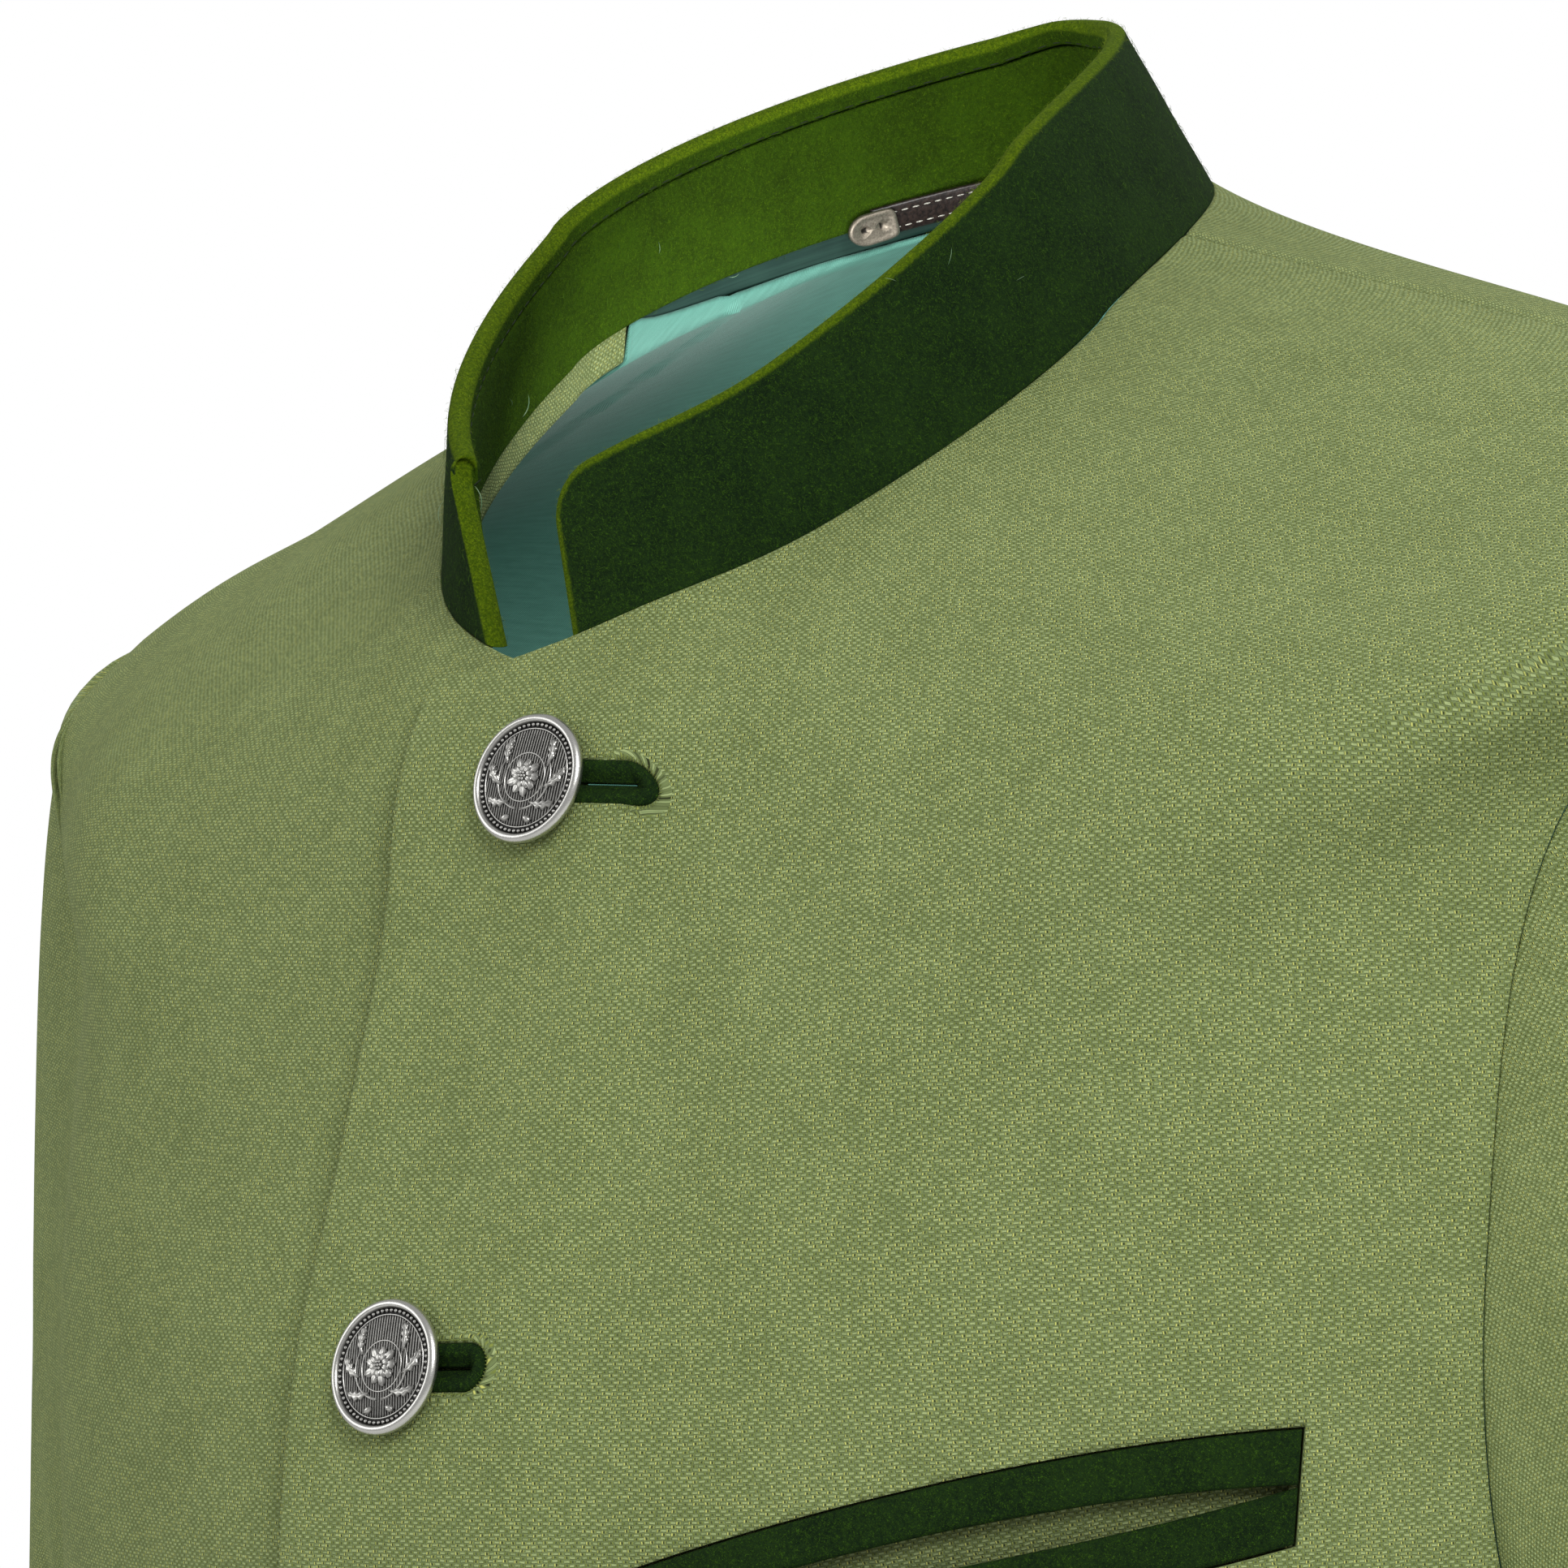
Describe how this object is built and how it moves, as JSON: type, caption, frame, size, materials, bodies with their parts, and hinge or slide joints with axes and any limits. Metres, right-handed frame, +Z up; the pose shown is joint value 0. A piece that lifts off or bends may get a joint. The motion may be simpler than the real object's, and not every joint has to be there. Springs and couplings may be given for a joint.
{
  "type": "linen trachten jacket",
  "caption": "Hip-length linen jacket, hollow as if worn, with a felt stand collar, felt-bound buttonholes, relief buttons and a welt breast pocket.",
  "frame": {"origin": "a point inside the neck, on the jacket's middle plane, level with the top of the shoulders where the wearer's neck and shoulders carry it", "axes": "+Z up, -Y towards the jacket's front, +X towards the wearer's left"},
  "size_m": [0.546, 0.2859, 0.7691],
  "materials": {
    "linen": "moss green linen, basket weave with yellow and olive slubs",
    "felt": "dark green milled wool felt with a fuzzy edge",
    "dark_teal_satin": "dark teal facing cloth",
    "teal_lining": "light teal satin lining",
    "antique_silver": "antique silver, dark in the hollows and worn bright on the relief",
    "hanger_webbing": "black webbing with two rows of pale stitches",
    "pewter": "dull pewter plate with two rivets"
  },
  "bodies": {
    "root": {"front_left": "linen", "front_right": "linen", "back": "linen", "sleeve_top_left": "linen", "sleeve_top_right": "linen", "sleeve_under_left": "linen", "sleeve_under_right": "linen", "facing_right": "linen", "pocket_backing": "linen", "collar_outer": "felt", "collar_inner": "felt", "pocket_welt_upper": "felt", "pocket_welt_lower": "felt", "buttonhole_1": "felt", "buttonhole_2": "felt", "buttonhole_3": "felt", "buttonhole_4": "felt", "buttonhole_5": "felt", "facing_back_neck": "dark_teal_satin", "lining_back": "teal_lining", "button_1": "antique_silver", "button_2": "antique_silver", "button_3": "antique_silver", "button_4": "antique_silver", "button_5": "antique_silver", "hanger_strap": "hanger_webbing", "hanger_plate_left": "pewter", "hanger_plate_right": "pewter"}
  },
  "joints": []
}
